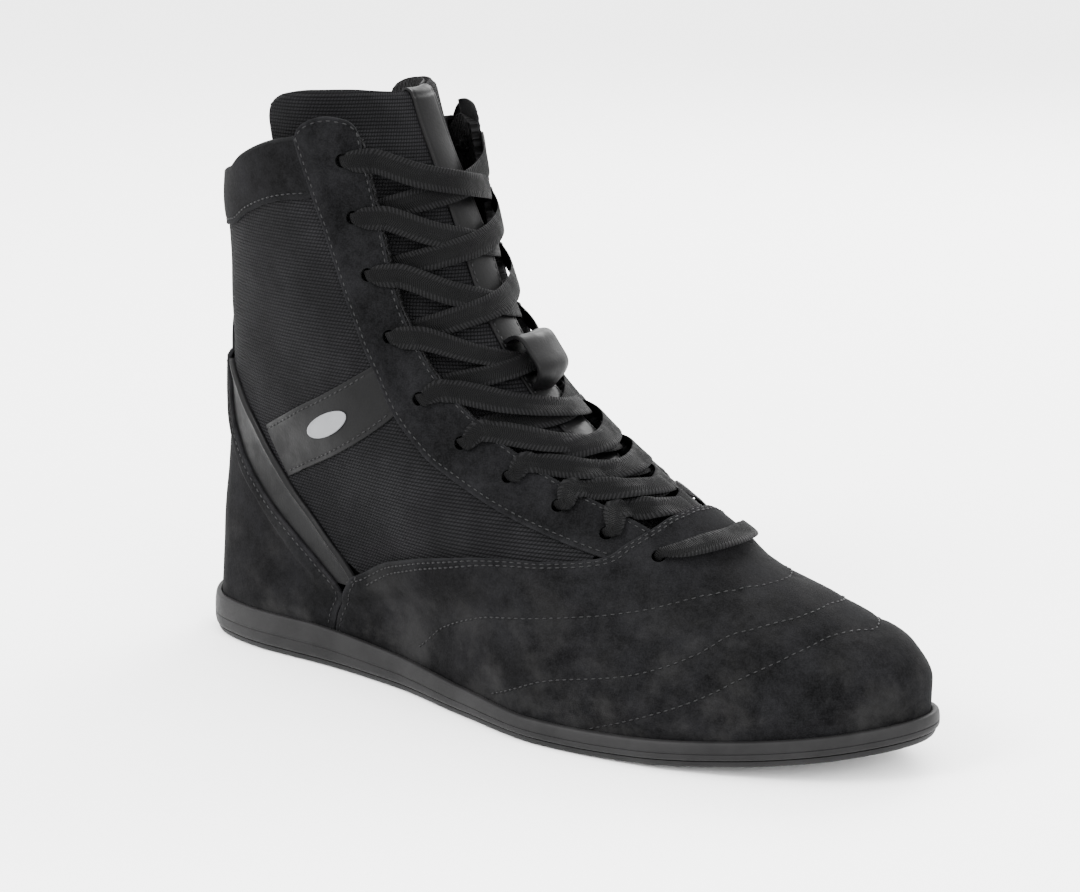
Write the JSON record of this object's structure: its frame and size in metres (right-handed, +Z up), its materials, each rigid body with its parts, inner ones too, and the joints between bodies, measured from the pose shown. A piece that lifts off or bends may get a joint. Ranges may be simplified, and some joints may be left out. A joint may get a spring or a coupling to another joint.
{
  "type": "boxing boot",
  "caption": "High lace-up boxing boot for the right foot: suede and mesh upper on a thin rubber cup sole, padded tongue, flat laces held by a keeper loop.",
  "frame": {"origin": "on the ground, under the middle of the boot's bounding box", "axes": "+X to the toe, +Y to the inner (medial) side, +Z up; the boot stands flat on its outsole"},
  "size_m": [0.3028, 0.0974, 0.2101],
  "materials": {
    "rubber": "matt dark grey rubber",
    "suede": "black nubuck suede",
    "strap_leather": "smooth dark grey leather",
    "mesh": "black ribbed woven mesh on a foam backing",
    "knit": "black knitted spacer lining",
    "foam": "soft foam",
    "board": "fibre insole board",
    "stiffener": "moulded stiffener sheet",
    "lace_cord": "flat woven black lace",
    "aglet_plastic": "clear-coated black lace tip",
    "badge_print": "plain silver oval badge"
  },
  "bodies": {
    "boot": {"outsole_tread": "rubber", "cup_sole": "rubber", "insole_board": "board", "sockliner": "foam", "vamp": "suede", "heel_panel": "suede", "quarter_mesh_lateral": "mesh", "eyestay_lateral": "suede", "collar_band_lateral": "suede", "collar_padding_lateral": "foam", "diagonal_strap_lateral": "strap_leather", "side_strap_lateral": "strap_leather", "badge_lateral": "badge_print", "lining_lateral": "knit", "quarter_mesh_medial": "mesh", "eyestay_medial": "suede", "collar_band_medial": "suede", "collar_padding_medial": "foam", "diagonal_strap_medial": "strap_leather", "side_strap_medial": "strap_leather", "badge_medial": "badge_print", "lining_medial": "knit", "vamp_lining": "knit", "heel_counter": "stiffener", "toe_puff": "stiffener", "lace": "lace_cord", "aglet_left": "aglet_plastic", "aglet_right": "aglet_plastic"},
    "tongue": {"tongue_cover": "mesh", "tongue_foam": "foam", "tongue_lining": "knit", "tongue_strip": "strap_leather", "lace_keeper": "strap_leather"}
  },
  "joints": [
    {"name": "tongue_tilt", "type": "hinge", "parent": "boot", "child": "tongue", "pos_m": [0.064, 0.007, 0.062], "axis": [0, 1, 0], "range_deg": [-1, 0], "stiffness_Nm_per_rad": 1.5, "springref_deg": 2.29}
  ]
}
